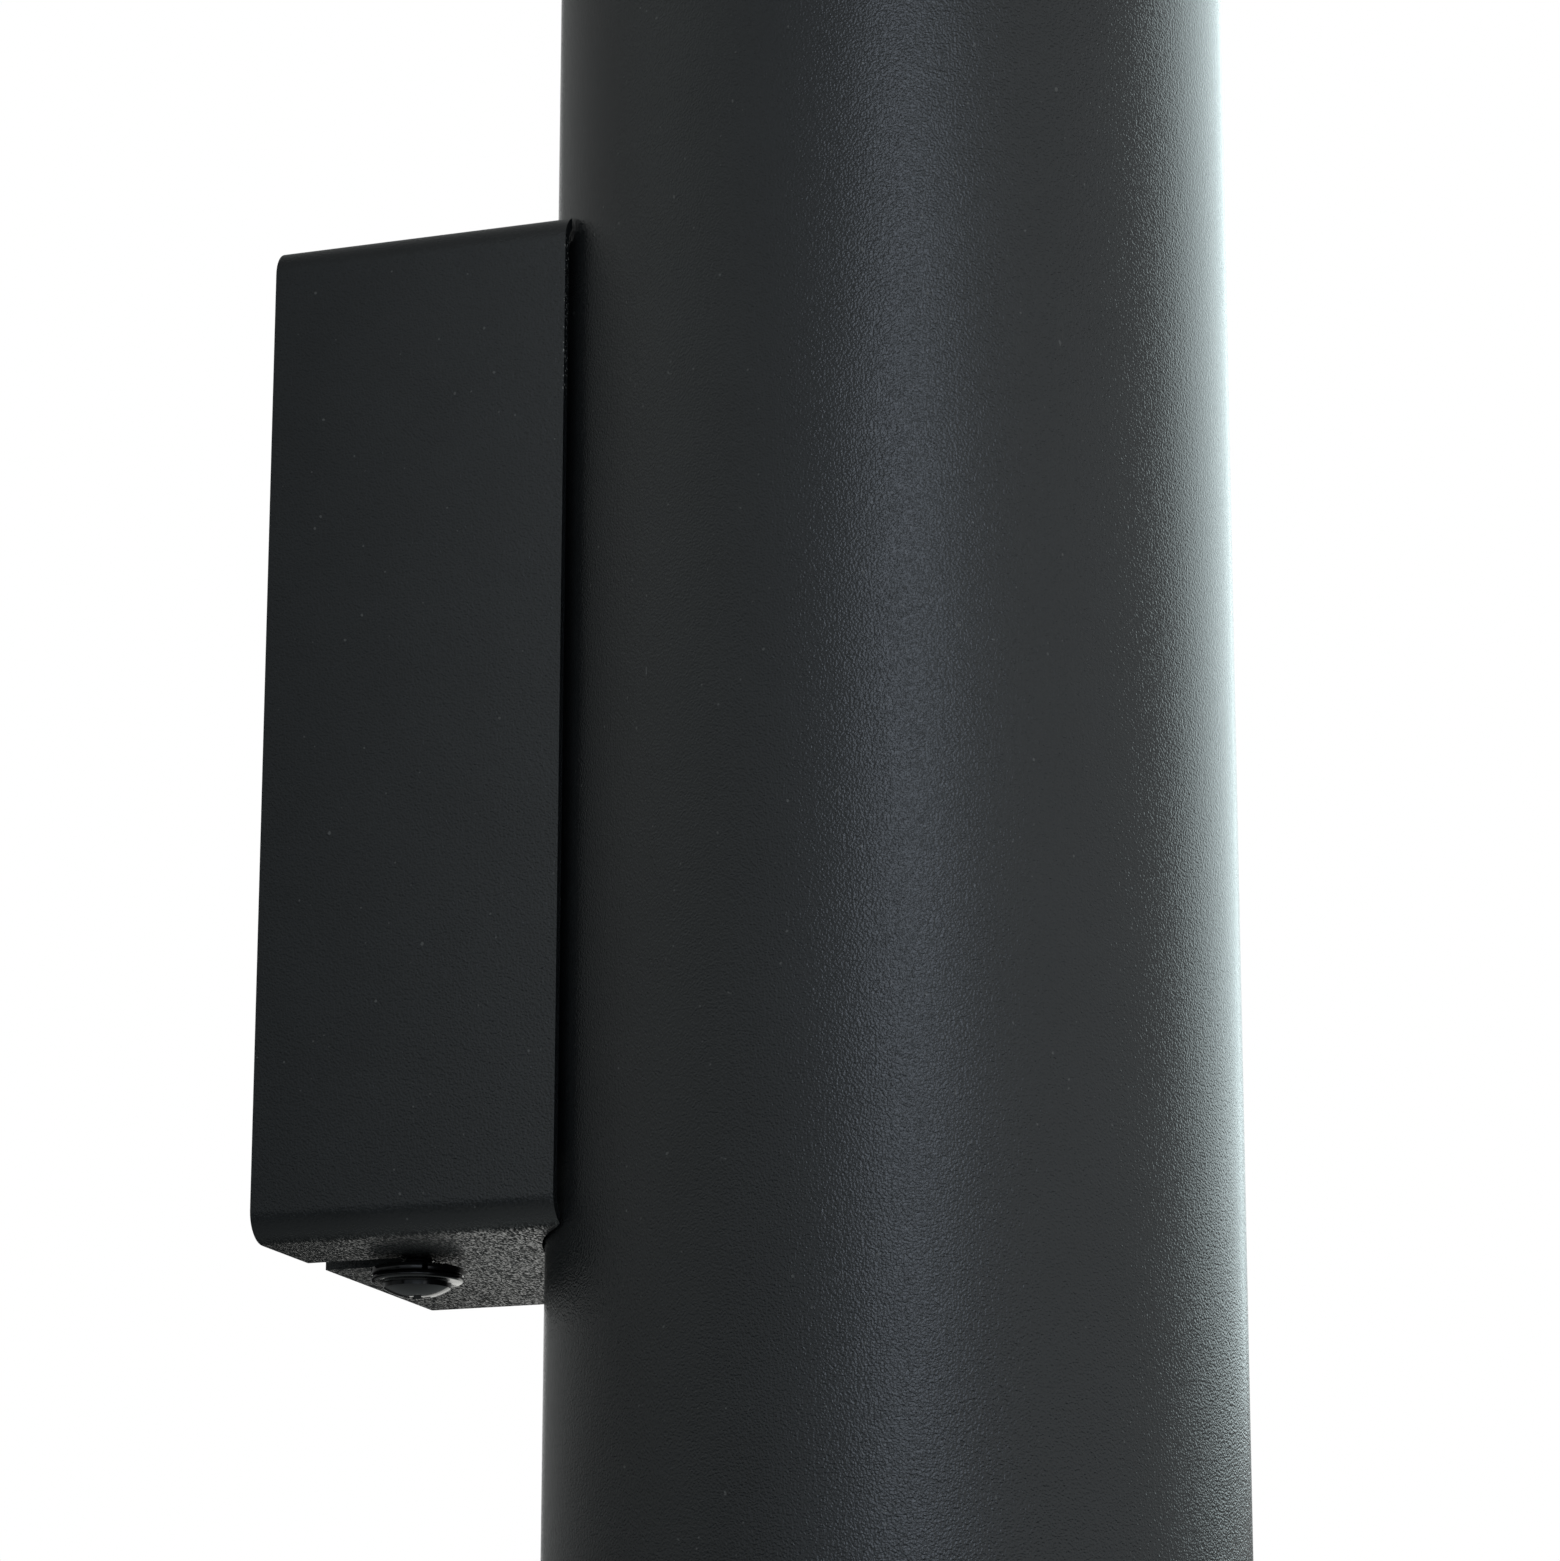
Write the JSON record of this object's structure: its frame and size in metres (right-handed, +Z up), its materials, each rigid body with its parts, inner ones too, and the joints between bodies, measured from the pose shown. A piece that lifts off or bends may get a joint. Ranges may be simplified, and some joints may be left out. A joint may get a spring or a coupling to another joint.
{
  "type": "up and down wall lamp",
  "caption": "Vertical round tube that throws light up and down, carried by a flat arm box that slides over a wall bracket and is held by a screw above and below.",
  "frame": {"origin": "middle of the wall bracket's back face, between its two slots, on the wall plane", "axes": "+Z up along the tube, +Y into the wall, -Y out into the room, +X to the right as seen from the room"},
  "size_m": [0.08, 0.108, 0.3],
  "materials": {
    "dark_coat": "fine-grained matt powder coat, anthracite",
    "inner_black": "matt black",
    "blackened_steel": "blackened steel, lightly oiled",
    "zinc_plated": "bright zinc plate",
    "tinned": "tinned",
    "brass": "satin",
    "porcelain": "unglazed steatite",
    "white_plastic": "satin",
    "frosted_lens": "frosted diffuser",
    "grommet_rubber": "matt",
    "live_sleeve": "silicone sleeve, brown",
    "neutral_sleeve": "silicone sleeve, blue",
    "earth_sleeve": "plastic sleeve, green with a yellow stripe"
  },
  "bodies": {
    "bracket": {"wall_bracket": "zinc_plated", "clinch_nuts": "zinc_plated", "cable_grommet": "grommet_rubber"},
    "lamp": {"arm_box": "dark_coat", "lamp_tube": "dark_coat", "saddle_plate": "zinc_plated", "saddle_screws": "zinc_plated", "saddle_nuts": "zinc_plated", "lamp_carrier": "zinc_plated", "cable_pipe": "zinc_plated", "pipe_nuts": "zinc_plated", "pipe_washer": "zinc_plated", "terminal_block": "white_plastic", "terminal_sleeves": "brass", "terminal_screws": "zinc_plated", "block_screws": "zinc_plated", "earth_screw": "brass", "earth_tag": "tinned", "earth_lead": "earth_sleeve", "live_leads": "live_sleeve", "neutral_leads": "neutral_sleeve", "upper_holder": "porcelain", "lower_holder": "porcelain", "upper_contacts": "brass", "lower_contacts": "brass", "holder_screws": "zinc_plated", "upper_glare_ring": "inner_black", "lower_glare_ring": "inner_black"},
    "top_washer": {"top_washer": "blackened_steel"},
    "top_screw": {"top_screw": "blackened_steel"},
    "bottom_washer": {"bottom_washer": "blackened_steel"},
    "bottom_screw": {"bottom_screw": "blackened_steel"},
    "upper_bulb": {"upper_bulb_base": "white_plastic", "upper_bulb_shell": "white_plastic", "upper_bulb_lens": "frosted_lens", "upper_bulb_pins": "tinned"},
    "lower_bulb": {"lower_bulb_base": "white_plastic", "lower_bulb_shell": "white_plastic", "lower_bulb_lens": "frosted_lens", "lower_bulb_pins": "tinned"}
  },
  "joints": [
    {"name": "lamp_off", "type": "slide", "parent": "bracket", "child": "lamp", "axis": [0, -1, 0], "range_m": [0, 0.04]},
    {"name": "top_washer_travel", "type": "slide", "parent": "bracket", "child": "top_washer", "axis": [0, 0, 1], "range_m": [-0.00087, 0.00209]},
    {"name": "top_screw_turn", "type": "hinge", "parent": "top_washer", "child": "top_screw", "pos_m": [-0.0094, -0.0128, 0.06], "axis": [0, 0, 1], "range_deg": [-450, 1080]},
    {"name": "bottom_washer_travel", "type": "slide", "parent": "bracket", "child": "bottom_washer", "axis": [0, 0, -1], "range_m": [-0.00087, 0.00209]},
    {"name": "bottom_screw_turn", "type": "hinge", "parent": "bottom_washer", "child": "bottom_screw", "pos_m": [-0.0094, -0.0128, -0.06], "axis": [0, 0, -1], "range_deg": [-450, 1080]},
    {"name": "upper_bulb_twist", "type": "hinge", "parent": "lamp", "child": "upper_bulb", "pos_m": [0, -0.068, 0.065], "axis": [0, 0, 1], "range_deg": [0, 25]},
    {"name": "lower_bulb_twist", "type": "hinge", "parent": "lamp", "child": "lower_bulb", "pos_m": [0, -0.068, -0.065], "axis": [0, 0, -1], "range_deg": [0, 25]}
  ],
  "couplings": [
    {"joint": "top_screw_turn", "follows": "top_washer_travel", "rad_per_m": 8976},
    {"joint": "bottom_screw_turn", "follows": "bottom_washer_travel", "rad_per_m": 8976}
  ]
}
